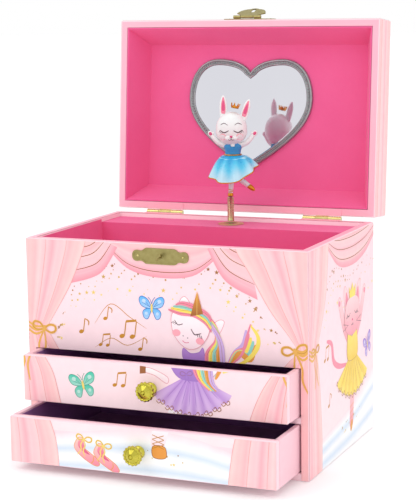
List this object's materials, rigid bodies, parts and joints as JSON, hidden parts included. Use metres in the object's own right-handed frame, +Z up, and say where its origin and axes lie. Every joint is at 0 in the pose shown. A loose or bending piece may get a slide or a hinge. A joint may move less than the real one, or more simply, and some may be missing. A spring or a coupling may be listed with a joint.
{
  "type": "musical jewellery box",
  "caption": "Free-standing paper-covered musical jewellery box with a hinged mirror lid, sprung turning dancer, clockwork movement and pull-out drawers.",
  "frame": {"origin": "centre of the case's underside, on the surface it stands on", "axes": "+Z up, the front with the drawers and latch faces -Y, the hinges and winding key are at +Y, +X is the right side seen from the front"},
  "size_m": [0.2, 0.2347, 0.2973],
  "materials": {
    "printed_paper": "wrapped board, satin printed paper",
    "rim_paper": "wrapped board, plain satin paper",
    "drawer_paper": "wrapped board, plain paper outside, dark purple inside",
    "pink_felt": "short flock",
    "brass": "polished",
    "antique_brass": "antique, brushed",
    "steel": "plain",
    "silver_trim": "embossed silver foil trim",
    "mirror": "polished",
    "white_enamel": "glossy white with painted details",
    "blue_bodice": "glossy paint",
    "blue_skirt": "painted, deep blue waist to pale hem, gold edge",
    "gold_paint": "metallic gold paint"
  },
  "bodies": {
    "case": {"side_panel_left": "printed_paper", "side_panel_right": "printed_paper", "back_panel": "printed_paper", "front_fascia": "printed_paper", "base_panel": "printed_paper", "drawer_shelf": "printed_paper", "compartment_floor": "rim_paper", "deck_top": "pink_felt", "deck_front": "pink_felt", "compartment_lining": "pink_felt", "hinge_leaf_case_left": "brass", "hinge_leaf_case_right": "brass", "hinge_pin_left": "steel", "hinge_pin_right": "steel", "catch_plate": "antique_brass", "movement_bedplate": "steel", "music_comb": "steel", "spindle_escutcheon": "brass"},
    "lid": {"lid_top": "printed_paper", "lid_rail_left": "rim_paper", "lid_rail_right": "rim_paper", "lid_rail_front": "rim_paper", "lid_rail_back": "rim_paper", "lid_tray": "pink_felt", "mirror_frame": "silver_trim", "mirror_glass": "mirror", "hinge_leaf_lid_left": "brass", "hinge_leaf_lid_right": "brass", "hasp_plate": "antique_brass"},
    "hasp": {"hasp": "antique_brass", "hasp_pin": "steel"},
    "stud": {"turn_stud": "brass"},
    "drawer_upper": {"drawer_upper_front": "printed_paper", "drawer_upper_side_left": "drawer_paper", "drawer_upper_side_right": "drawer_paper", "drawer_upper_back": "drawer_paper", "drawer_upper_bottom": "drawer_paper", "drawer_upper_knob": "brass"},
    "drawer_lower": {"drawer_lower_front": "printed_paper", "drawer_lower_side_left": "drawer_paper", "drawer_lower_side_right": "drawer_paper", "drawer_lower_back": "drawer_paper", "drawer_lower_bottom": "drawer_paper", "drawer_lower_knob": "brass"},
    "winder": {"spring_barrel": "brass", "winding_arbor": "steel", "winding_key": "brass"},
    "spindle": {"output_spindle": "brass", "music_cylinder": "brass"},
    "governor": {"governor_fly": "steel"},
    "stem": {"stem_core": "steel"},
    "dancer": {"stem_spring": "brass", "dancer_legs": "white_enamel", "dancer_skirt": "blue_skirt", "dancer_body": "blue_bodice", "dancer_head": "white_enamel", "dancer_crown": "gold_paint"}
  },
  "joints": [
    {"name": "lid_hinge", "type": "hinge", "parent": "case", "child": "lid", "pos_m": [0, 0.0717, 0.149], "axis": [-1, 0, 0], "range_deg": [-94.9, 0]},
    {"name": "hasp_swing", "type": "hinge", "parent": "lid", "child": "hasp", "pos_m": [-0.001, 0.08868, 0.29152], "axis": [-1, 0, 0], "range_deg": [-155, 12]},
    {"name": "stud_turn", "type": "hinge", "parent": "case", "child": "stud", "pos_m": [-0.001, -0.0697, 0.1405], "axis": [0, -1, 0], "range_deg": [-45, 45]},
    {"name": "upper_drawer_slide", "type": "slide", "parent": "case", "child": "drawer_upper", "axis": [0, -1, 0], "range_m": [-0.0207, 0.0743]},
    {"name": "lower_drawer_slide", "type": "slide", "parent": "case", "child": "drawer_lower", "axis": [0, -1, 0], "range_m": [-0.0408, 0.0542]},
    {"name": "winding_turn", "type": "hinge", "parent": "case", "child": "winder", "pos_m": [0, 0.0695, 0.101], "axis": [0, 1, 0], "continuous": true},
    {"name": "spindle_turn", "type": "hinge", "parent": "case", "child": "spindle", "pos_m": [0, 0.05, 0.1441], "axis": [0, 0, 1], "continuous": true},
    {"name": "governor_turn", "type": "hinge", "parent": "case", "child": "governor", "pos_m": [0.01135, 0.05, 0.1346], "axis": [0, 0, 1], "continuous": true},
    {"name": "stem_fold", "type": "hinge", "parent": "case", "child": "stem", "pos_m": [0, 0.05, 0.1491], "axis": [1, 0, 0], "range_deg": [0, 90]},
    {"name": "dancer_turn", "type": "hinge", "parent": "stem", "child": "dancer", "pos_m": [0, 0.05, 0.1491], "axis": [0, 0, 1], "continuous": true}
  ],
  "couplings": [
    {"joint": "stem_fold", "follows": "lid_hinge", "ratio": -0.94837},
    {"joint": "spindle_turn", "follows": "winding_turn", "ratio": -3},
    {"joint": "dancer_turn", "follows": "winding_turn", "ratio": -3},
    {"joint": "governor_turn", "follows": "winding_turn", "ratio": 12}
  ]
}
